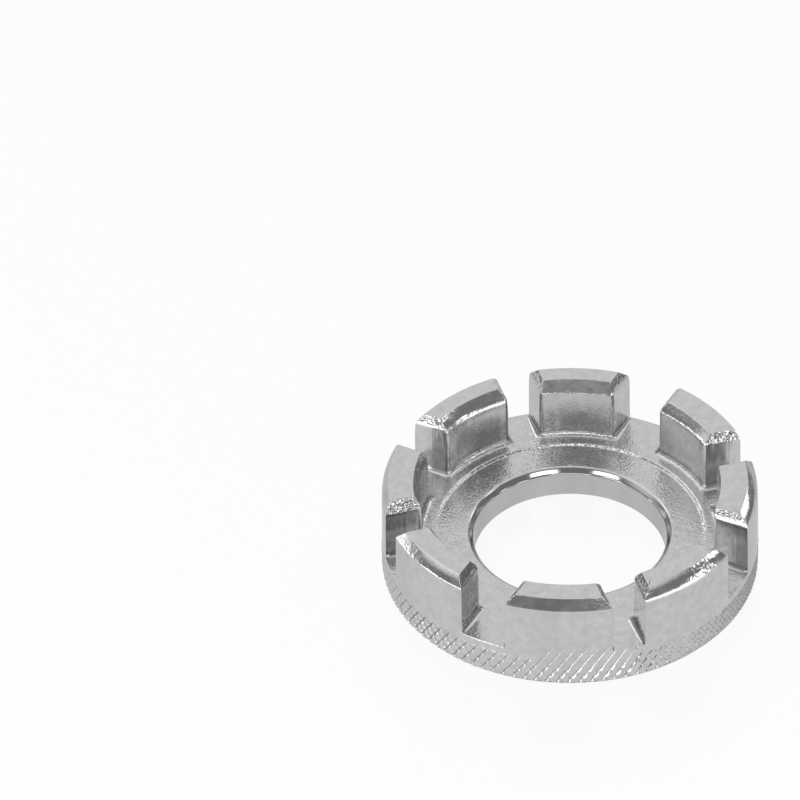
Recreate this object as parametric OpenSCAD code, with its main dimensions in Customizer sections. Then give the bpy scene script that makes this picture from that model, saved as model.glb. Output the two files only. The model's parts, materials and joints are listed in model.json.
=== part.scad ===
// Round spoke wrench: a flat ring with a bore, a knurled rim and eight upright jaws.
// It lies on its numbered face, with the jaws up. The gap between two jaws grips a nipple.

/* [Overall] */
// Diameter over the knurl
outer_d = 36; // [33:0.5:42]
// Height from the numbered face to the top of the jaws
height = 9.9; // [8:0.1:14]

/* [Face plate] */
// Thickness from the numbered face to the slot floors
plate_t = 3.75; // [2.5:0.05:5]
// Diameter of the central bore
bore_d = 18.4; // [12:0.2:20]
// Chamfer at both ends of the bore
bore_chamfer = 0.5; // [0.2:0.05:0.8]
// Width of the flat ledge between the jaw feet and the cast dish
ledge_w = 1; // [0.6:0.05:1.6]
// Depth of the cast dish below the ledge
dish_depth = 0.25; // [0.1:0.05:0.6]
// Width of the sloping wall of the dish
dish_wall = 0.25; // [0.1:0.05:0.5]

/* [Knurled rim] */
// Radial thickness of the rim
rim_t = 2; // [1:0.1:3]
// Edge break between the rim and the numbered face
face_chamfer = 0.4; // [0.2:0.05:0.8]

/* [Jaws] */
// Radial thickness of a jaw at its foot
jaw_t = 3.7; // [2.8:0.1:4.2]
// How far the jaw walls stand inside the knurl
jaw_setback = 0.1; // [0:0.05:0.4]
// How far the outer wall of a jaw leans in towards its top
jaw_draft = 0.1; // [0.05:0.05:0.4]
// Height of the bevels on the outer and inner sides
bevel_h = 0.9; // [0.5:0.1:1.4]
// Width of the bevel on the outer side
bevel_out = 0.7; // [0.3:0.1:1]
// Width of the bevel on the inner side
bevel_in = 1; // [0.4:0.1:1.2]
// How much shorter the bevels beside the slots are
end_bevel_drop = 0.1; // [0.05:0.05:0.3]
// Width of the bevels beside the slots
bevel_end = 0.7; // [0.2:0.1:1]
// Width and height of the cove where the inner side of a jaw meets the ledge
foot_cove = 0.25; // [0.1:0.05:0.5]

/* [Slots] */
// Width of the slot for gauge 10
slot_10 = 4.9; // [4.5:0.05:6]
// Width of the slot for gauge 11
slot_11 = 4.5; // [4.2:0.05:5.2]
// Width of the slot for gauge 12
slot_12 = 4.2; // [3.9:0.05:4.8]
// Width of the slot for gauge 13
slot_13 = 3.85; // [3.5:0.05:4.2]
// Width of the two slots for gauge 14
slot_14 = 3.4; // [3.2:0.05:3.8]
// Width of the two slots for gauge 15
slot_15 = 3.15; // [2.9:0.05:3.5]

/* [Hidden] */
// Slot widths counter-clockwise from +X, seen from the jaws
slots = [slot_12, slot_14, slot_10, slot_15, slot_13, slot_14, slot_11, slot_15];
pitch = 360 / len(slots);
outer_r = outer_d / 2;
bore_r = bore_d / 2;
rim_r = outer_r - rim_t;
jaw_foot_r = outer_r - jaw_setback;
jaw_top_r = jaw_foot_r - jaw_draft;
jaw_in_r = jaw_foot_r - jaw_t;
dish_r = jaw_in_r - foot_cove - ledge_w;
dish_z = plate_t - dish_depth;
bevel_z = height - bevel_h;
end_bevel_h = bevel_h - end_bevel_drop;
end_bevel_z = height - end_bevel_h;
// How far a cut runs past the metal that it removes
overrun = 1;
metal = "#BDBDBB";
rim_metal = "#ADADAB";
jaw_metal = "#C6C6C4";
$fn = 96;

// Disc inside the rim: flat face below, ledge and shallow dish above, chamfered bore.
module face_plate() {
    color(metal)
    rotate_extrude()
    polygon([
        [bore_r + bore_chamfer, 0],
        [rim_r, 0],
        [rim_r, plate_t],
        [dish_r, plate_t],
        [dish_r - dish_wall, dish_z],
        [bore_r + bore_chamfer, dish_z],
        [bore_r, dish_z - bore_chamfer],
        [bore_r, bore_chamfer]
    ]);
}

// Band round the disc, up to the slot floors.
module knurled_rim() {
    color(rim_metal)
    rotate_extrude()
    polygon([
        [rim_r, 0],
        [outer_r - face_chamfer, 0],
        [outer_r, face_chamfer],
        [outer_r, plate_t],
        [rim_r, plate_t]
    ]);
}

// Cross-section of a jaw through the axis: leaning outer wall, bevelled top, coved foot.
module jaw_section() {
    polygon([
        [jaw_in_r - foot_cove, plate_t],
        [jaw_foot_r, plate_t],
        [jaw_top_r, bevel_z],
        [jaw_top_r - bevel_out, height],
        [jaw_in_r + bevel_in, height],
        [jaw_in_r, bevel_z],
        [jaw_in_r, plate_t + foot_cove]
    ]);
}

// Space of one slot: parallel walls that flare over the height of the bevels.
module slot_space(width) {
    half = width / 2;
    flare = bevel_end * (end_bevel_h + overrun) / end_bevel_h;
    start = jaw_in_r - foot_cove - overrun;
    translate([start, 0, 0])
    rotate([90, 0, 90])
    linear_extrude(outer_r + overrun - start)
    polygon([
        [-half, plate_t - overrun],
        [half, plate_t - overrun],
        [half, end_bevel_z],
        [half + flare, height + overrun],
        [-half - flare, height + overrun],
        [-half, end_bevel_z]
    ]);
}

// Jaw between slot i and the next slot, counted counter-clockwise.
module jaw(i) {
    color(jaw_metal)
    difference() {
        rotate([0, 0, i * pitch])
        rotate_extrude(angle = pitch)
        jaw_section();
        for (k = [i, i + 1]) {
            rotate([0, 0, k * pitch])
            slot_space(slots[k % len(slots)]);
        }
    }
}

face_plate();
knurled_rim();
jaw(0);  // jaw_1
jaw(1);  // jaw_2
jaw(2);  // jaw_3
jaw(3);  // jaw_4
jaw(4);  // jaw_5
jaw(5);  // jaw_6
jaw(6);  // jaw_7
jaw(7);  // jaw_8
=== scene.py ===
import json
import math

import bpy
import numpy as np
from mathutils import Euler, Matrix, Vector


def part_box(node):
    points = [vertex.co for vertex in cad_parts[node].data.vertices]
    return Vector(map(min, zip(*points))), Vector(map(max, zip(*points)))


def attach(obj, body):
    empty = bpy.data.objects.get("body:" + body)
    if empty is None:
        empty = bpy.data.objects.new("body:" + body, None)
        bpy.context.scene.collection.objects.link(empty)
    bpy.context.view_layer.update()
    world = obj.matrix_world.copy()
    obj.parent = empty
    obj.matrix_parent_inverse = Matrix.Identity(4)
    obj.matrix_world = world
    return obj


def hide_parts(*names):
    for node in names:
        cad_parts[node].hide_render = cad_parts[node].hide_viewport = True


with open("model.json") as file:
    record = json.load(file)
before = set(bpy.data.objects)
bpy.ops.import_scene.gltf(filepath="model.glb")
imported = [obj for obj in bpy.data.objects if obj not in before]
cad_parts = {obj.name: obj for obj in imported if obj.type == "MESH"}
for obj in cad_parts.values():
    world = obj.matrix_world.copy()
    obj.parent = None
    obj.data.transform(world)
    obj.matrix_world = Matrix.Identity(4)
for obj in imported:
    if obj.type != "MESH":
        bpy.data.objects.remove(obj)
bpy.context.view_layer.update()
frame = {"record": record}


# Cast plate: the disc of the wrench, with its bore, grainy dish, ledge and slot floors.
# Zinc alloy, die cast and bright plated; only the bore and its chamfer are turned.
# Sizes are in millimetres, which MM turns into the metres of the frame.
MM = 0.001
plate_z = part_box("face_plate")[1].z / MM
rim_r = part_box("face_plate")[1].x / MM
bore_r = next(m["dims"]["r_mm"] for m in frame["record"]["mounts"] if m["name"] == "bore")
bore_chamfer = 0.5
chamfer_r = bore_r + bore_chamfer
face_skin = 0.5
dish_r = 12.95
dish_wall = 0.14
dish_depth = 0.25
dish_z = plate_z - dish_depth
steep_side = math.radians(112)
dish_filled = 0.9
dish_broadened = 0.2
turned_z = 2.0
dish_grain = 0.1
dish_grain_depth = 0.014
# How much painted shade darkens the turned bore and its chamfer, a recess.
bore_painted_shade = 0.18
plate_columns = 1100
plated_zinc = ("#BABAB9", "#DCDCDB")
# Painted shade: the dark grey that the zinc is mixed towards where shade is painted on.
painted_shade_zinc = "#6E6E6C"
specular_tint = "#E2E2E2"
cloud_size = 0.9
roughness_wander = 0.03


def linear(colour):
    """sRGB hex colour to the linear RGBA of a shader socket."""
    s = np.array([int(colour[k:k + 2], 16) / 255 for k in (1, 3, 5)])
    return (*np.where(s <= 0.04045, s / 12.92, ((s + 0.055) / 1.055) ** 2.4), 1.0)


def node(tree, kind, inputs=None, **settings):
    """Adds one shader node with its settings, and sets or links each input named."""
    made = tree.nodes.new("ShaderNode" + kind)
    for key, value in settings.items():
        setattr(made, key, value)
    for key, value in (inputs or {}).items():
        if isinstance(value, bpy.types.NodeSocket):
            tree.links.new(value, made.inputs[key])
        else:
            made.inputs[key].default_value = value
    return made


def zinc_finish(name, bright, satin, grit, grit_depth, cloudy=1.0):
    """Bright plated zinc: a grey mirror whose roughness goes from bright to satin with the piece's
    satin share and wanders a little. Where the die left its skin, grit of that size and depth, in
    mm, breaks it and specks its grey, which is as cloudy as given, and painted shade darkens it."""
    material = bpy.data.materials.new(name)
    material.use_nodes = True
    tree = material.node_tree
    shader = tree.nodes["Principled BSDF"]
    shader.inputs["Metallic"].default_value = 1.0
    shader.inputs["Specular Tint"].default_value = linear(specular_tint)
    place = node(tree, "TexCoord").outputs["Object"]
    dull = node(tree, "Attribute", attribute_name="satin").outputs["Fac"]
    skin = node(tree, "Attribute", attribute_name="die_skin").outputs["Fac"]
    painted_shade = node(tree, "Attribute", attribute_name="painted_shade").outputs["Fac"]
    patches = node(tree, "TexNoise", {"Vector": place, "Scale": 1 / (cloud_size * MM),
                                      "Detail": 3.0})
    specks = node(tree, "TexNoise", {"Vector": place, "Scale": 1 / (grit * MM), "Detail": 0.5})
    pitted = node(tree, "Math", {0: specks.outputs[0], 1: 0.5}, operation="SUBTRACT")
    cloud = node(tree, "MapRange", {"Value": patches.outputs[0], "To Min": 0.5 - 0.5 * cloudy,
                                    "To Max": 0.5 + 0.5 * cloudy})
    pitted = node(tree, "Math", {0: pitted.outputs[0], 1: skin, 2: cloud.outputs[0]},
                  operation="MULTIPLY_ADD")
    clouds = node(tree, "Mix", {"Factor": pitted.outputs[0], 6: linear(plated_zinc[0]),
                                7: linear(plated_zinc[1])}, data_type="RGBA")
    # Painted shade: the grey is mixed towards the dark grey as the piece's painted_shade share
    # says.
    shade_mixed = node(tree, "Mix", {"Factor": painted_shade, 6: clouds.outputs[2], 7: linear(painted_shade_zinc)},
                  data_type="RGBA")
    tree.links.new(shade_mixed.outputs[2], shader.inputs["Base Color"])
    wander = node(tree, "MapRange", {"Value": patches.outputs[0], "From Min": 0.3, "From Max": 0.7,
                                     "To Min": bright - roughness_wander,
                                     "To Max": bright + roughness_wander})
    rough = node(tree, "Math", {0: dull, 1: satin - bright, 2: wander.outputs[0]},
                 operation="MULTIPLY_ADD")
    tree.links.new(rough.outputs[0], shader.inputs["Roughness"])
    relief = node(tree, "Bump", {"Height": specks.outputs[0], "Distance": grit_depth * MM,
                                 "Strength": skin})
    tree.links.new(relief.outputs[0], shader.inputs["Normal"])
    return material


def section_line(corners, steps):
    """Closed outline through the corners (r, z, soft): side k is cut into steps[k] equal parts, and
    a parabola that leaves the sides `soft` mm from a corner rounds it off."""
    corners = np.array(corners, float)
    place, soft = corners[:, :2], corners[:, 2:]
    ahead = np.roll(place, -1, 0) - place
    along = ahead / np.linalg.norm(ahead, axis=1, keepdims=True)
    first = place + along * soft
    last = np.roll(place - np.roll(along, 1, 0) * soft, -1, 0)
    bend = np.array([0.33, 0.67])[:, None]
    line = []
    for k, following in enumerate(np.roll(np.arange(len(corners)), -1)):
        line.append(np.linspace(first[k], last[k], steps[k] + 1))
        line.append((1 - bend) ** 2 * last[k] + 2 * bend * (1 - bend) * place[following]
                    + bend ** 2 * first[following])
    line = np.vstack(line)
    return line[np.linalg.norm(line - np.roll(line, 1, 0), axis=1) > 1e-6]


def turned(line, angles):
    """Grid of the outline's points (rows) carried round the axis to each angle (columns)."""
    r, z = line[:, :1], line[:, 1:]
    return np.stack([r * np.cos(angles), r * np.sin(angles), z + 0 * angles], -1)


def fade(value, start, end):
    """Share that is 0 up to start and 1 from end on, and a straight line between them. The start
    may be the larger of the two."""
    return np.clip((value - start) / (end - start), 0, 1)


def grain(points, cell, seed):
    """Smooth random height from -1 to 1: a lattice of seeded random numbers with that cell,
    blended between the eight corners round each point."""
    side = 32
    lattice = np.random.default_rng(seed).uniform(-1, 1, (side, side, side))
    low = np.floor(points / cell).astype(int)
    share = points / cell - low
    share = share * share * (3 - 2 * share)
    height = 0
    for corner in np.ndindex(2, 2, 2):
        at = (low + corner) % side
        weight = np.prod(np.where(corner, share, 1 - share), -1)
        height = height + weight * lattice[at[..., 0], at[..., 1], at[..., 2]]
    return height


def raised(grid, height):
    """Moves each point of a grid along the surface's normal, which is the cross product of the
    steps to its neighbours along the columns and along the rows."""
    across = np.roll(grid, -1, 1) - np.roll(grid, 1, 1)
    up = np.gradient(grid, axis=0)
    normal = np.cross(across, up)
    normal /= np.maximum(np.linalg.norm(normal, axis=-1, keepdims=True), 1e-12)
    return grid + normal * height[..., None]


def add_piece(name, points, quads, materials, nodes, skin, satin, painted_shade=0.0, finish=None,
              crease=40):
    """One closed piece from points in mm and quads, smooth but for creases over that angle. Skin,
    satin and painted shade say from 0 to 1 how gritty, dull and darkened by painted shade each
    point is."""
    mesh = bpy.data.meshes.new(name)
    mesh.vertices.add(len(points))
    mesh.vertices.foreach_set("co", (points * MM).astype(np.float32).ravel())
    mesh.loops.add(quads.size)
    mesh.loops.foreach_set("vertex_index", quads.astype(np.int32).ravel())
    mesh.polygons.add(len(quads))
    mesh.polygons.foreach_set("loop_start", np.arange(0, quads.size, 4, dtype=np.int32))
    for material in materials:
        mesh.materials.append(material)
    if finish is not None:
        mesh.polygons.foreach_set("material_index", finish.astype(np.int32))
    for share, values in (("die_skin", skin), ("satin", satin), ("painted_shade", painted_shade)):
        values = np.broadcast_to(values, len(points)).astype(np.float32)
        mesh.attributes.new(share, "FLOAT", "POINT").data.foreach_set("value", values)
    mesh.update(calc_edges=True)
    mesh.validate()
    mesh.shade_smooth()
    mesh.set_sharp_from_angle(angle=math.radians(crease))
    piece = bpy.data.objects.new(name, mesh)
    bpy.context.scene.collection.objects.link(piece)
    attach(piece, "root")
    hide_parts(*nodes)


def ring_quads(rows, columns):
    """Quads of a grid that closes on itself along its rows and its columns."""
    at = np.arange(rows * columns).reshape(rows, columns)
    over = np.roll(at, -1, 0)
    return np.stack([at, np.roll(at, -1, 1), np.roll(over, -1, 1), over], -1).reshape(-1, 4)


# Zinc plated as it came from the die: a bright, cloudy grey whose walls are satin and finely
# gritty. The real grit is finer, and is drawn as coarse as it needs to show.
as_cast = zinc_finish("plated_zinc_as_cast", bright=0.1, satin=0.3, grit=0.17, grit_depth=0.025)
# Zinc turned on a lathe before plating: smooth and even, with hardly any cloud or grit.
machined = zinc_finish("plated_zinc_turned", bright=0.12, satin=0.2, grit=0.3, grit_depth=0.002,
                       cloudy=0.35)

# The plate ends face_skin above the ground, and the numbered face takes up the rest.
plate_line = section_line(
    [(bore_r, face_skin, 0), (rim_r, face_skin, 0), (rim_r, plate_z, 0), (dish_r, plate_z, 0.08),
     (dish_r - dish_wall, dish_z, 0.07), (chamfer_r, dish_z, 0.14),
     (bore_r, dish_z - bore_chamfer, 0.12)], [2, 2, 15, 2, 40, 4, 6])
line_r, line_z = plate_line[:, :1], plate_line[:, 1:]
plate_turns = np.linspace(0, 2 * np.pi, plate_columns, endpoint=False)
plate_grid = turned(plate_line, plate_turns)
# The dish is not even: steep at one side, broad and low beside it, and almost gone across from it.
# Up to turned_z the bore's wall stays as it was turned.
from_steep = np.abs((plate_turns - steep_side + np.pi) % (2 * np.pi) - np.pi)
shallow = dish_filled * fade(from_steep, 0.9, 2.0)
in_dish = (line_r < dish_r) * fade(line_z, turned_z, turned_z + 1) * fade(line_z, plate_z, dish_z)
beside = in_dish * fade(line_r, dish_r - 1.6, dish_r - 0.2) * np.sin(from_steep) ** 2
plate_grid[..., :2] *= 1 - (dish_broadened * beside / line_r)[..., None]
plate_grid[..., 2] += shallow * in_dish * dish_depth
# The die's grain covers everything above the turned bore, deeper in patches.
in_bore = (line_r < chamfer_r + 0.05) & (line_z < dish_z - 0.005)
grainy = (line_z > turned_z) * fade(line_r, chamfer_r + 0.08, chamfer_r + 0.23)
patchy = 1 + 0.7 * grain(plate_grid, 1.4, 2)
plate_grid = raised(plate_grid,
                    grainy * dish_grain_depth * patchy * grain(plate_grid, dish_grain, 1))
# The turned bore and its chamfer get painted shade; the rest of the plate gets none.
plate_skin, plate_satin, plate_painted_shade = (
    np.repeat(share.ravel(), plate_columns)
    for share in (np.maximum(grainy, 0.1 * ~in_bore), 0.45 * (1 - in_bore), bore_painted_shade * in_bore))
add_piece("cast_plate", plate_grid.reshape(-1, 3), ring_quads(*plate_grid.shape[:2]),
          [as_cast, machined], ["face_plate"], plate_skin, plate_satin, plate_painted_shade,
          finish=np.repeat(in_bore.ravel(), plate_columns))


# Numbered face: the underside of the disc, on which the wrench lies.
# Turned on a lathe, which leaves fine rings, then stamped with the gauge of each slot.
outer_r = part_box("knurled_rim")[1].x / MM
face_chamfer = 0.4
face_edge_r = outer_r - face_chamfer
ring_pitch = 0.33
ring_depth = 0.014
face_z = 0.04
gauges = (12, 14, 10, 15, 13, 14, 11, 15)
number_r = 13.6
digit_w = 1.35
digit_h = 2.5
digit_gap = 0.55
stroke_w = 0.22
stamp_depth = 0.16
stamp_burr = 0.03
stamp_burr_w = 0.09
# How much painted shade darkens the stamped strokes, so that the numbers read.
stamp_painted_shade = 0.6
number_margin = 0.4


def arc(x, y, rx, ry, start, end):
    """Points on an ellipse about (x, y) from one angle to another, in degrees."""
    t = np.radians(np.linspace(start, end, 13))
    return np.stack([x + rx * np.cos(t), y + ry * np.sin(t)], -1)


# Each digit is drawn with single strokes in a box of width 1 and height 1.
digits = {
    "0": [arc(0.5, 0.5, 0.46, 0.5, 90, 450)],
    "1": [np.array([(0.22, 0.78), (0.55, 1.0), (0.55, 0.0)])],
    "2": [np.vstack([arc(0.5, 0.7, 0.44, 0.3, 165, -40), [(0.06, 0.0), (0.96, 0.0)]])],
    "3": [arc(0.46, 0.74, 0.42, 0.26, 150, -90), arc(0.46, 0.24, 0.46, 0.24, 90, -150)],
    "4": [np.array([(0.72, 0.0), (0.72, 1.0), (0.04, 0.3), (1.0, 0.3)])],
    "5": [np.vstack([[(0.9, 1.0), (0.2, 1.0), (0.14, 0.56)],
                     arc(0.46, 0.31, 0.46, 0.31, 125, -140)])],
}


def stroke_distance(x, y, strokes):
    """Distance in mm from each point to the nearest straight piece of the strokes."""
    nearest = np.full(x.shape, 9.0)
    for stroke in strokes:
        for (x0, y0), (x1, y1) in zip(stroke[:-1], stroke[1:]):
            dx, dy = x1 - x0, y1 - y0
            t = np.clip(((x - x0) * dx + (y - y0) * dy) / (dx * dx + dy * dy), 0, 1)
            nearest = np.minimum(nearest, np.hypot(x - x0 - t * dx, y - y0 - t * dy))
    return nearest


sector = 2 * np.pi / len(gauges)
# The columns crowd together at each number.
number_half = (digit_w + digit_gap / 2 + number_margin) / number_r
near = np.linspace(-number_half, number_half, 69)
between = np.linspace(number_half, sector - number_half, 14)[1:-1]
face_turns = (np.arange(len(gauges))[:, None] * sector + np.concatenate([near, between])).ravel()
face_line = section_line(
    [(chamfer_r, face_z, 0.04), (bore_r, face_skin + face_z, 0.04),
     (face_edge_r, face_skin, 0), (face_edge_r, face_z, 0.04)], [5, 2, 2, 122])[::-1]
face_grid = turned(face_line, face_turns)
flat = (np.abs(face_line[:, 1] - face_z) < 1e-6)[:, None]
sink = flat * ring_depth * np.cos(2 * np.pi * face_line[:, :1] / ring_pitch) + 0 * face_turns
stamped = 0 * sink
for k, gauge in enumerate(gauges):
    # Seen from below, a number reads clockwise as its angle grows, with its top outwards.
    turn = face_turns - k * sector
    turn = (turn + np.pi) % (2 * np.pi) - np.pi
    x = face_line[:, :1] * np.sin(turn)
    y = face_line[:, :1] * np.cos(turn) - number_r
    strokes = [np.array(s) * (digit_w, digit_h) + (place * (digit_w + digit_gap), 0)
               - (digit_w + digit_gap / 2, digit_h / 2)
               for place, figure in enumerate(str(gauge)) for s in digits[figure]]
    away = stroke_distance(x, y, strokes)
    stamp = fade(away, 1.5 * stroke_w, 0.5 * stroke_w)
    stamped = np.maximum(stamped, flat * stamp)
    thrown_up = stamp_burr * np.exp(-((away - 1.7 * stroke_w) / stamp_burr_w) ** 2)
    sink = np.where(flat, sink * (1 - stamp) - thrown_up + stamp_depth * stamp, sink)
face_grid[..., 2] += np.clip(sink, -face_z, None)
# Painted shade darkens the stamped strokes of the numbers.
add_piece("numbered_face", face_grid.reshape(-1, 3), ring_quads(*face_grid.shape[:2]),
          [machined], ["face_plate"], 0.0, 0.0, stamp_painted_shade * stamped.ravel())


# Knurled rim: the band that the fingers turn, below the jaws.
# A diamond knurl is rolled into the casting, so two sets of grooves cross and lift the metal
# between them. On one jaw the band climbs higher, where only one of the two wheels bit.
jaw_setback = 0.1
wall_r = outer_r - jaw_setback
knurl_count = 106
knurl_lean = math.radians(35)
knurl_lift = 0.08
groove_deep = 0.19
groove_fine = 0.085
groove_slope = (1.1, 0.75)
# How much painted shade darkens the bottoms of the knurl's grooves.
groove_painted_shade = 0.5
knurl_uneven = 0.016
knurl_top = 3.1
knurl_run_out = 0.3
high_top = 4.6
high_jaw = 6.5 * sector
broken_slot = 6
broken_edge = 0.04
slot_gauge_width = {10: 4.9, 11: 4.5, 12: 4.2, 13: 3.85, 14: 3.4, 15: 3.15}


def from_high_jaw(angle):
    """Angle from the middle of the high jaw, from -pi to pi."""
    return (angle - high_jaw + np.pi) % (2 * np.pi) - np.pi


def faint_knurl(angle):
    """Share from 0 to 1 by which the knurl is faint and uneven, to the right of the high jaw."""
    turn = from_high_jaw(angle)
    return fade(turn, 0.4, 0.7) * fade(turn, 2.2, 1.4)


def knurl(angle, z):
    """Height of the knurl over the plain wall in mm: a lifted band, less the deepest of the helical
    V grooves. Two sets cross. On the high jaw the first goes on up in the plain wall, finer, and
    the second is weak. To the right of it both are shallow, and the second is doubled half a pitch
    apart. To the left both are worn."""
    pitch = 2 * np.pi * outer_r / knurl_count
    turn, faint = from_high_jaw(angle), faint_knurl(angle)
    high = fade(np.abs(turn - 0.18), 0.3, 0.22)
    upper = high * fade(z, 1.7, 2.3)
    worn = 0.4 * fade(turn, -0.8, -0.5) * fade(turn, 0, -0.2)
    first = (1 - 0.85 * faint - worn) * (groove_deep + upper * (groove_fine - groove_deep))
    second = (1 - 0.55 * faint - worn) * (1 - 0.2 * high) * (1 - upper) * groove_deep
    doubled = 0.4 * faint * groove_deep
    steep, gentle = groove_slope[0], groove_slope[1] - 0.3 * faint
    depth = 0
    for lean, shift, bite, slope in ((-1, 0, first, steep), (1, 0, second, gentle),
                                     (1, 0.5, doubled, gentle)):
        phase = (angle * outer_r + lean * z * math.tan(knurl_lean)) / pitch + shift
        away = np.abs(phase - np.round(phase)) * pitch * math.cos(knurl_lean)
        depth = np.maximum(depth, bite - slope * away)
    top = knurl_top + high * (high_top - knurl_top)
    lift = knurl_lift * (1 - upper) * (1 - 0.8 * faint)
    return fade(z, top, top - knurl_run_out) * (lift - depth)


rim_line = section_line(
    [(rim_r, 0.25, 0), (face_edge_r - 0.1, 0.25, 0), (face_edge_r, 0.0, 0.03),
     (wall_r, face_chamfer, 0.05), (wall_r, plate_z, 0), (rim_r, plate_z, 0)], [2, 2, 5, 36, 13, 2])
line_r, line_z = rim_line[:, :1], rim_line[:, 1:]
# The columns lean with the first set of grooves and crowd together in each of them.
in_pitch = np.array([-0.4, -0.28, -0.19, -0.13, -0.08, -0.04, 0, 0.04, 0.08, 0.13, 0.19, 0.28, 0.4])
rim_turns = ((np.arange(knurl_count)[:, None] + in_pitch) * 2 * np.pi / knurl_count).ravel()
rim_turns = rim_turns + line_z * math.tan(knurl_lean) / outer_r
rim_grid = turned(rim_line, rim_turns)
on_rim = fade(line_r, face_edge_r, face_edge_r + 0.2)
rim_out = on_rim * knurl(rim_turns, line_z)
# The edge of the gauge 11 slot is broken, so it catches the light.
slot_half = slot_gauge_width[gauges[broken_slot]] / 2
from_middle = outer_r * np.abs(rim_turns - broken_slot * sector)
in_slot = fade(from_middle, slot_half, slot_half - 0.2)
rim_out -= on_rim * in_slot * broken_edge * fade(line_z, plate_z - 2 * broken_edge, plate_z)
# The knurl is uneven, twice as much where it is faint.
uneven = fade(line_z, knurl_top, knurl_top - knurl_run_out) * grain(rim_grid, 0.3, 3)
rim_out += on_rim * knurl_uneven * (1 + faint_knurl(rim_turns)) * uneven
rim_grid[..., :2] *= 1 + (rim_out / line_r)[..., None]
# Its top is the outer part of the slot floors, with the die's grain.
on_top = line_z > plate_z - 1e-6
on_floor = on_top * fade(line_r, wall_r, wall_r - 0.2)
rim_grid[..., 2] += on_floor * dish_grain_depth * grain(rim_grid, dish_grain, 1)
# Zinc rolled by the knurling wheels and then plated: bright, a little dulled by handling.
knurled = zinc_finish("plated_zinc_knurled", bright=0.14, satin=0.2, grit=0.17, grit_depth=0.025)
rim_skin = np.where(on_top, 0.9, 0.1) + 0 * rim_turns
# Painted shade darkens the grooves, but hardly round the high jaw.
spared_near_high_jaw = np.clip(1.6 - np.abs(from_high_jaw(rim_turns)), 0, 0.9)
rim_painted_shade = groove_painted_shade * (1 - spared_near_high_jaw) * on_rim * ~on_top * fade(rim_out, 0, -0.1)
add_piece("knurled_rim_band", rim_grid.reshape(-1, 3), ring_quads(*rim_grid.shape[:2]),
          [knurled], ["knurled_rim"], rim_skin.ravel(), rim_skin.ravel(), rim_painted_shade.ravel())


# Jaws: eight upright blocks round the rim. Each gap between two of them grips one nipple.
# Cast in one with the plate: drafted walls, coved feet, and bevels beside the slots that the die
# left rough. The bevels were dressed by hand, so they differ from jaw to jaw.
top_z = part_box("jaw_1")[1].z / MM
jaw_in_r = 14.2
jaw_draft = 0.1
cove = 0.55
cove_top = plate_z + cove
end_cove = 0.45
root_z = plate_z - 0.2
root_ends = (1.2, 0.6)
root_outside = (1, 0.6, 0.25)
root_inside = (1, 0.6)
bevel_h = 0.9
bevel_z = top_z - bevel_h
bevel_end = 0.7
edge_soft = 0.04
outer_corner = 0.04
inner_corner = 0.42
bevel_corner = 0.1
bevel_grain = 0.2
bevel_grain_depth = 0.09
burr_depth = 0.03
foot_grain_depth = 0.025
wall_wave = 0.02
streak = 0.006
edge_wear_h = 0.6
burr_soft = 0.08
jaw_seed = 40
# Each jaw's bevels, from jaw 1 to jaw 8. Outside: width, height, how softly it runs out below.
# Inside: width, softness. At the ends: height, softness. Last, what is rounded off the outer edge
# at the low end, in the middle and at the high end.
jaw_bevels = (((0.9, 0.65, 0.25), (0.06, 0.1), (0.95, 0.32), (0.35, 0.03, 0)),
              ((0.35, 0.9, 0.2), (0.8, 0.2), (0.8, 0.25), (0, 0, 0)),
              ((0.85, 0.9, 0.2), (1.1, 0.03), (0.85, 0.25), (0, 0, 0)),
              ((0.7, 0.9, 0.2), (1.15, 0.5), (0.85, 0.3), (0, 0, 0)),
              ((0.55, 0.9, 0.2), (0.6, 0.25), (1.1, 0.15), (0, 0, 0)),
              ((0.72, 0.9, 0.004), (0.65, 0.2), (0.8, 0.2), (0, 0.1, 0.14)),
              ((0.77, 0.9, 0.004), (0.8, 0.2), (0.8, 0.2), (0, 0, 0)),
              ((0.85, 1.0, 0.25), (0.65, 0.2), (0.8, 0.2), (0.4, 0.25, 0.35)))
# How rough they are. Inside: roughness. At the ends: height of the rough part, roughness of the
# low and the high one. Outside: roughness, and where along the jaw it lies.
jaw_roughness = ((0.05, (0.6, 1.0, 0.6), (0.1, 0.0)),
                 (0.05, (0.85, 1.0, 0.6), (0.1, 0.0)),
                 (0.02, (0.85, 0.2, 0.2), (0.1, 0.0)),
                 (0.07, (0.75, 0.6, 1.0), (0.1, 0.0)),
                 (0.15, (1.15, 0.6, 1.0), (0.1, 0.0)),
                 (0.05, (0.85, 0.6, 0.2), (0.16, -0.45)),
                 (0.05, (0.85, 0.3, 0.3), (0.03, 0.0)),
                 (0.05, (0.85, 0.1, 0.6), (0.35, 0.4)))
# How much painted shade darkens the wall at each jaw's high end, and how much burr hangs below its
# outer bevel.
wall_painted_shade = (0, 0, 0, 0, 0, 0.35, 0, 0)
bevel_burr = (0, 0, 0, 0, 0, 1.0, 0, 0)

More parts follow.
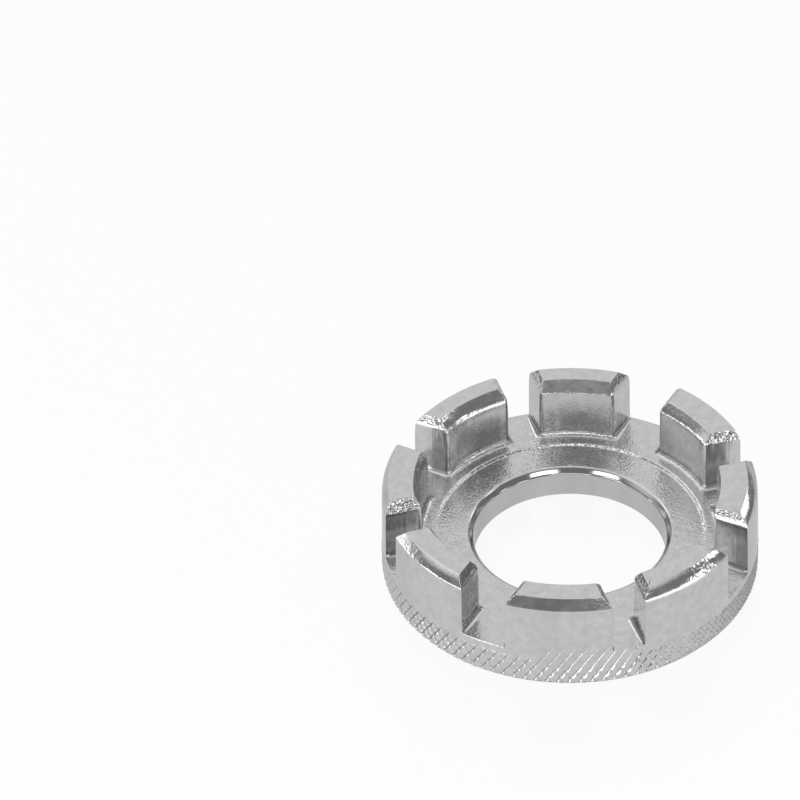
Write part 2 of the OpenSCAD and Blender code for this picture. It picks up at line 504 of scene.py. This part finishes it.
# Columns run once round a jaw: along its low end, its outer side and its high end, and back.
# A corner's centre takes the place (edge_p, edge_q) and the arc round it adds (arc_p, arc_q).
end_steps = np.linspace(0, 1, 38)
side_steps = np.linspace(-1, 1, 261)
quarter = np.radians(np.linspace(180, 90, 8)[1:-1])
flat_end, flat_side, bend = end_steps * 0, side_steps * 0, quarter * 0
edge_p = np.concatenate([flat_end - 1, bend - 1, side_steps, bend + 1, flat_end + 1])
edge_q = np.concatenate([end_steps, bend + 1, flat_side + 1, bend + 1, end_steps[::-1]])
arc_p = np.concatenate([flat_end - 1, np.cos(quarter), flat_side,
                        -np.cos(quarter[::-1]), flat_end + 1])
arc_q = np.concatenate([flat_end, np.sin(quarter), flat_side + 1,
                        np.sin(quarter[::-1]), flat_end])
mirrored = slice(-2, 0, -1)
edge_p, arc_p = (np.concatenate([a, a[mirrored]]) for a in (edge_p, arc_p))
edge_q, arc_q = (np.concatenate([a, -a[mirrored]]) for a in (edge_q, arc_q))

# Rows climb a jaw: hidden root, cove, knurled foot, wall, bevel, rounded edge, flat top.
sweep = np.linspace(0, np.pi / 2, 7)
cove_z = plate_z + cove * (1 - np.cos(sweep))
climb = np.concatenate([np.linspace(cove_top, high_top + 0.1, 15)[1:],
                        np.linspace(high_top + 0.1, bevel_z - 0.4, 15)[1:],
                        np.linspace(bevel_z - 0.4, bevel_z, 10)[1:],
                        np.linspace(bevel_z, top_z - edge_soft, 18)[1:]])
rounding = np.linspace(0, 1, 5)[1:]
fold = np.linspace(0, 1, 7)[1:]
row_z = np.concatenate([[root_z, root_z, plate_z - 0.02], cove_z, climb,
                        top_z - edge_soft * (1 - rounding) ** 2, fold * 0 + top_z])
sharpen = fade(row_z, bevel_z - 0.1, bevel_z + 0.35)[:, None]
corner = np.where(edge_q > 0, outer_corner, inner_corner)
corner = corner + sharpen * (bevel_corner - corner)
corner[-len(fold):] *= 1 - fold[:, None]
corner[0] = 0

rows, columns = len(row_z), len(edge_p)
at = np.arange(rows * columns).reshape(rows, columns)
folded = np.minimum(np.arange(columns), (columns - np.arange(columns)) % columns)
at[0], at[-1] = at[0][folded], at[-1][folded]
jaw_quads = np.stack([at[:-1], np.roll(at[:-1], -1, 1), np.roll(at[1:], -1, 1), at[1:]], -1)
used, jaw_quads = np.unique(jaw_quads, return_inverse=True)
jaw_quads = jaw_quads.reshape(-1, 4)


def wall_inset(width, height, soft):
    """How far a wall stands in at each row from the cove up: nothing below its bevel, then a slope
    of width over height with a soft start, a rounded edge at the top, and last the edge held."""
    slope = width / height
    rise = climb - top_z + height
    wall = slope * (rise + np.sqrt(rise ** 2 + soft ** 2)) / 2
    brim = wall[-1] + slope * edge_soft * (1 - (1 - rounding) ** 2) + edge_soft * rounding ** 2
    return np.concatenate([wall, brim, fold * 0 + brim[-1]])


def jaw_form(start, half_low, half_high, bevels, at_burr):
    """Grid of one jaw: a rounded box from -1 to 1 both ways, laid between the walls of the slot
    at angle start and the next slot, and between the inner and outer radius of each row. The
    knurl is added outside, and at a burr the lower edge of the outer bevel is rolled over."""
    (bevel_out, out_h, soft_out), (bevel_in, soft_in), (end_h, soft_end), worn_edge = bevels
    z = row_z[:, None] + 0 * edge_p
    foot = np.zeros(3 + len(sweep))
    inset_out = np.concatenate([foot, wall_inset(bevel_out, out_h, soft_out)])
    inset_in = np.concatenate([foot, wall_inset(bevel_in, bevel_h, soft_in)])
    inset_end = np.concatenate([foot, wall_inset(bevel_end, end_h, soft_end)])
    flare = np.zeros(rows)
    flare[2:3 + len(sweep)] = np.concatenate([[1], 1 - np.sin(sweep)])
    out_r = wall_r - jaw_draft * fade(row_z, plate_z, bevel_z) - inset_out
    in_r = jaw_in_r + inset_in - cove * flare
    # The hidden root stands in, and both ends of the grid shut to a line.
    inset_end[:len(root_ends)] = root_ends
    out_r[:len(root_outside)] -= root_outside
    in_r[:len(root_inside)] += root_inside
    inset_end[-len(fold):] += 0.5 * fold
    middle = (out_r + in_r) / 2
    shut = np.zeros(rows)
    shut[0] = 1
    shut[-len(fold):] = fold
    out_r = (out_r + shut * (middle - out_r))[:, None]
    in_r = (in_r + shut * (middle - in_r))[:, None]
    # Corners of one radius in mm are wider or narrower as shares of the box.
    depth = np.maximum((out_r - in_r) / 2, 1e-6)
    width = (out_r + in_r) / 4 * sector - (half_low + half_high) / 2 - inset_end[:, None]
    corner_p = corner / width
    corner_q = np.minimum(corner / depth, 0.9)
    p = edge_p * (1 - corner_p) + arc_p * corner_p
    q = edge_q * (1 - corner_q) + arc_q * corner_q
    worn = np.interp(edge_p, (-1, 0, 1), worn_edge) * fade(z, top_z - edge_wear_h, top_z) ** 2
    rolled = wall_inset(bevel_out, out_h, burr_soft) - wall_inset(bevel_out, out_h, soft_out)
    worn = (worn + np.concatenate([foot, rolled])[:, None] * at_burr) * (1 - shut[:, None])
    r = (out_r + in_r) / 2 + q * (out_r - in_r) / 2 - worn * np.clip(arc_q, 0, 1)
    end_flare = end_cove * flare[:, None] * (1 - 0.45 * q - 0.5 * fade(q, 0.8, 1))
    inset = inset_end[:, None] - end_flare
    low = start + np.arcsin((half_low + inset) / r)
    high = start + sector - np.arcsin((half_high + inset) / r)
    angle = (low + high) / 2 + p * (high - low) / 2
    r = r + fade(q, 0.9, 1) * (z >= plate_z) * knurl(angle, z)
    return np.stack([r * np.cos(angle), r * np.sin(angle), z], -1)


def jaw_finish(grid, out_h, roughness, at_burr, seed):
    """Moves a jaw's grid along its normal: grain on rough bevels, burrs, grain at the foot, waves
    and streaks on the walls. With it come the jaw's shares of skin and satin, and the share that
    is 1 on the wall at its high end, where painted shade may darken it."""
    rough_in, (rough_h, rough_low, rough_high), (rough_out, rough_at) = roughness
    z = grid[..., 2]
    # Where each point lies on the jaw.
    at_end, outside, inside = arc_p ** 2, np.clip(arc_q, 0, 1), np.clip(-arc_q, 0, 1)
    at_mitre = 4 * arc_p ** 2 * arc_q ** 2
    at_foot = fade(z, cove_top, cove_top - 0.2) * (z >= plate_z)
    under_top = fade(z, top_z, top_z - 0.05)
    on_wall = fade(z, cove_top, cove_top + 0.3) * under_top
    on_bevel = fade(z, bevel_z, bevel_z + 0.15) * under_top
    at_brink = np.exp(-((z - bevel_z + 0.05) / 0.06) ** 2) * (inside + outside * at_burr)
    # How rough its bevels are there.
    rough = at_end * np.where(edge_p < 0, rough_low, rough_high)
    rough = np.maximum(rough, outside * rough_out * np.exp(-((edge_p - rough_at) / 0.35) ** 2))
    rough = np.maximum(rough, 0.03 * outside)
    rough = np.maximum(rough, rough_in * inside)
    rough_from = top_z - np.where(at_end > 0.3, rough_h, out_h)
    rough_zone = fade(z, rough_from, rough_from + 0.12) * under_top
    # The relief.
    height = bevel_grain_depth * rough * rough_zone * grain(grid, bevel_grain, seed)
    height += burr_depth * np.maximum(at_mitre * on_bevel, at_brink) * grain(grid, 0.2, seed + 10)
    height += foot_grain_depth * at_foot * inside * grain(grid, 0.2, seed + 40)
    wave = wall_wave * (0.35 + 0.65 * np.maximum(inside, 0.6 * at_end))
    height += wave * on_wall * (1 - 0.7 * on_bevel) * grain(grid * (1, 1, 0.35), 0.6, seed + 20)
    streaks = grain(grid * (1, 1, 0.06), 0.22, seed + 30)
    height += streak * at_end * on_wall * (1 - on_bevel) * streaks
    # Grit is strongest on the inner walls, and the walls are more satin than the bevels.
    skin = 0.08 + 0.12 * outside + 0.4 * inside * (1 - 0.85 * on_bevel)
    skin = skin * on_wall * (1 - on_bevel * at_end)
    satin = (0.5 + 0.3 * inside) * (1 - on_bevel) + 0.25 * on_bevel * (1 - at_end)
    satin = np.where(z > top_z - 0.01, 0.5, satin)
    grid = raised(grid, height)
    grid[..., 2] = np.minimum(grid[..., 2], top_z)
    return grid, skin, satin, at_end * on_wall * (edge_p > 0)


for k, gauge in enumerate(gauges):
    following = gauges[(k + 1) % len(gauges)]
    outer_bevel_h = jaw_bevels[k][0][1]
    at_burr = bevel_burr[k] * fade(edge_p, -0.1, 0.2)
    jaw_grid = jaw_form(k * sector, slot_gauge_width[gauge] / 2, slot_gauge_width[following] / 2,
                        jaw_bevels[k], at_burr)
    jaw_grid, jaw_skin, jaw_satin, high_wall = jaw_finish(
        jaw_grid, outer_bevel_h, jaw_roughness[k], at_burr, jaw_seed + k)
    # On jaw 6 the wall at the high end is darkened with painted shade, in place of a dark
    # reflection.
    add_piece(f"cast_jaw_{k + 1}", jaw_grid.reshape(-1, 3)[used], jaw_quads, [as_cast],
              [f"jaw_{k + 1}"], jaw_skin.ravel()[used], jaw_satin.ravel()[used],
              wall_painted_shade[k] * high_wall.ravel()[used], crease=30)


# Camera: a long lens from the front at the photograph's angle, without shift.
# It is rolled by a hair, and turned a little aside, so that the wrench stands low on the right as
# it was framed.
frame_px = 800
centre_px = (569.95, 559.6)
camera_distance = 0.532
camera_bearing = math.radians(27.2)
camera_elevation = math.radians(40.8)
focal_px = 5556
camera_roll = math.radians(-0.22)
lens = bpy.data.cameras.new("camera")
lens.sensor_width = 36
lens.lens = focal_px / frame_px * lens.sensor_width
camera = bpy.data.objects.new("camera", lens)
towards = Vector((math.sin(camera_bearing) * math.cos(camera_elevation),
                  -math.cos(camera_bearing) * math.cos(camera_elevation),
                  math.sin(camera_elevation)))
pan = math.atan((centre_px[0] - frame_px / 2) / focal_px)
tilt = math.atan((centre_px[1] - frame_px / 2) / focal_px)
aim = (-towards).to_track_quat("-Z", "Y").to_matrix().to_4x4()
camera.matrix_world = (Matrix.Translation(towards * camera_distance) @ aim
                       @ Euler((tilt, pan, camera_roll)).to_matrix().to_4x4())
lens.clip_start, lens.clip_end = 0.01, 20
bpy.context.scene.collection.objects.link(camera)
bpy.context.scene.camera = camera


# Stage: a white sweep, two soft boxes above the camera's left and right, and lower lamps all
# round. The room is pale behind the wrench and dim around the camera, as bright metal shows it.
floor_half = 1.5
floor_z = -0.00002
white = "#FFFFFF"
paper_white = "#F4F4F4"
pale = 0.87
dim = 0.24
glow_share = 0.95
sweep_full, sweep_gone = 2, 9
gap_half, gap_gone = 25, 50
gap_pale = 0.1
floor_mesh = bpy.data.meshes.new("floor")
floor_mesh.from_pydata([(x * floor_half, y * floor_half, floor_z) for x, y in
                        ((-1, -1), (1, -1), (1, 1), (-1, 1))], [], [(0, 1, 2, 3)])
floor = bpy.data.objects.new("floor", floor_mesh)
bpy.context.scene.collection.objects.link(floor)
# Coated white paper: plain white to the camera, a little less so to the metal that mirrors it,
# with a faint shadow and a faint mirror image where the wrench stands.
paper = bpy.data.materials.new("white_paper_sweep")
paper.use_nodes = True
tree = paper.node_tree
tree.nodes.clear()
rays = node(tree, "LightPath")
seen = node(tree, "Math", {0: rays.outputs["Is Camera Ray"], 1: rays.outputs["Is Glossy Ray"]},
            operation="MAXIMUM")
seen = node(tree, "Math", {0: seen.outputs[0], 1: rays.outputs["Is Transmission Ray"]},
            operation="MAXIMUM")
share = node(tree, "Math", {0: seen.outputs[0], 1: glow_share}, operation="MULTIPLY")
matt = node(tree, "BsdfDiffuse", {"Color": linear(paper_white)})
level = node(tree, "MapRange", {"Value": rays.outputs["Is Camera Ray"], "To Min": pale,
                                "To Max": 1.0})
lit = node(tree, "Emission", {"Color": linear(white), "Strength": level.outputs[0]})
mixed = node(tree, "MixShader", {0: share.outputs[0], 1: matt.outputs[0], 2: lit.outputs[0]})
sheen = node(tree, "BsdfGlossy", {"Color": linear(white), "Roughness": 0.3})
grazing = node(tree, "Fresnel", {"IOR": 1.45})
coated = node(tree, "MixShader", {0: grazing.outputs[0], 1: mixed.outputs[0], 2: sheen.outputs[0]})
node(tree, "OutputMaterial", {"Surface": coated.outputs[0]})
floor_mesh.materials.append(paper)


def bearing_vector(bearing, elevation):
    """Unit vector at a bearing from the camera's side, positive to the right, and an elevation."""
    a, e = camera_bearing + math.radians(bearing), math.radians(elevation)
    return Vector((math.sin(a) * math.cos(e), -math.cos(a) * math.cos(e), math.sin(e)))


room = bpy.data.worlds.new("studio_room")
room.use_nodes = True
bpy.context.scene.world = room
tree = room.node_tree
background = tree.nodes["Background"]
look = node(tree, "TexCoord").outputs["Generated"]
glow = dim
# Each patch of the room: bearing, elevation, full and faded half-width in degrees, brightness.
room_patches = ((180, 40, 10, 50, pale), (180, 75, 26, 52, pale), (-106, 50, 6, 36, 1.25),
                (-106, 14, 4, 10, 0.9))
for bearing, elevation, full, faded, brightness in room_patches:
    facing = node(tree, "VectorMath", {0: look, 1: bearing_vector(bearing, elevation)},
                  operation="DOT_PRODUCT")
    patch = node(tree, "MapRange", {"Value": facing.outputs["Value"],
                                    "From Min": math.cos(math.radians(faded)),
                                    "From Max": math.cos(math.radians(full)), "To Min": 0.0,
                                    "To Max": brightness}, interpolation_type="SMOOTHSTEP")
    glow = node(tree, "Math", {0: glow, 1: patch.outputs[0]}, operation="MAXIMUM").outputs[0]
# The white sweep runs up into the room to a few degrees, behind and at the sides. It leaves a gap
# towards the camera.
rise = node(tree, "SeparateXYZ", {0: look}).outputs["Z"]
sweep_up = node(tree, "MapRange", {"Value": rise, "From Min": math.sin(math.radians(sweep_gone)),
                                   "From Max": math.sin(math.radians(sweep_full)), "To Min": 0.0,
                                   "To Max": pale}, interpolation_type="SMOOTHSTEP")
in_front = node(tree, "VectorMath", {0: look, 1: bearing_vector(0, 0)}, operation="DOT_PRODUCT")
in_front = node(tree, "MapRange", {"Value": in_front.outputs["Value"],
                                   "From Min": math.cos(math.radians(gap_half)),
                                   "From Max": math.cos(math.radians(gap_gone)),
                                   "To Min": gap_pale, "To Max": 1.0},
                interpolation_type="SMOOTHSTEP")
sweep_up = node(tree, "Math", {0: sweep_up.outputs[0], 1: in_front.outputs[0]},
                operation="MULTIPLY")
glow = node(tree, "Math", {0: glow, 1: sweep_up.outputs[0]}, operation="MAXIMUM").outputs[0]
tree.links.new(glow, background.inputs["Color"])

# Each lamp: name, bearing, elevation, distance, width and height in metres, roll, brightness.
# Its watts are its brightness times pi times its area.
lamps = (("soft_box_left", -46, 46, 0.5, 0.19, 0.05, 12, 4.0),
         ("soft_box_right", 32, 47, 0.5, 0.2, 0.06, -8, 4.0),
         ("low_front", 0, 18, 0.6, 0.5, 0.13, 0, 2.8),
         ("low_left", -47, 13.6, 0.5, 0.175, 0.226, 0, 3.0),
         ("side_left", -84, 5.6, 0.5, 0.48, 0.09, 0, 3.0),
         ("low_right", 58, 8.5, 0.5, 0.36, 0.13, 0, 3.0),
         ("side_right", 78, 20, 0.5, 0.09, 0.1, 0, 3.0),
         ("high_right", 108, 41, 0.5, 0.1, 0.1, 0, 2.5),
         ("back_left", -144, 40, 0.5, 0.12, 0.09, 0, 2.2),
         ("back_right", 136, 31, 0.5, 0.09, 0.1, 0, 3.0))
for name, bearing, elevation, distance, width, height, roll, brightness in lamps:
    lamp = bpy.data.lights.new(name, "AREA")
    lamp.shape = "RECTANGLE"
    lamp.size, lamp.size_y = width, height
    lamp.energy = brightness * math.pi * width * height
    stand = bearing_vector(bearing, elevation)
    lit_box = bpy.data.objects.new(name, lamp)
    lit_box.location = stand * distance
    lit_box.rotation_mode = "QUATERNION"
    lit_box.rotation_quaternion = (stand.to_track_quat("Z", "Y")
                                   @ Euler((0, 0, math.radians(roll))).to_quaternion())
    bpy.context.scene.collection.objects.link(lit_box)

bpy.context.scene.view_settings.view_transform = "Standard"
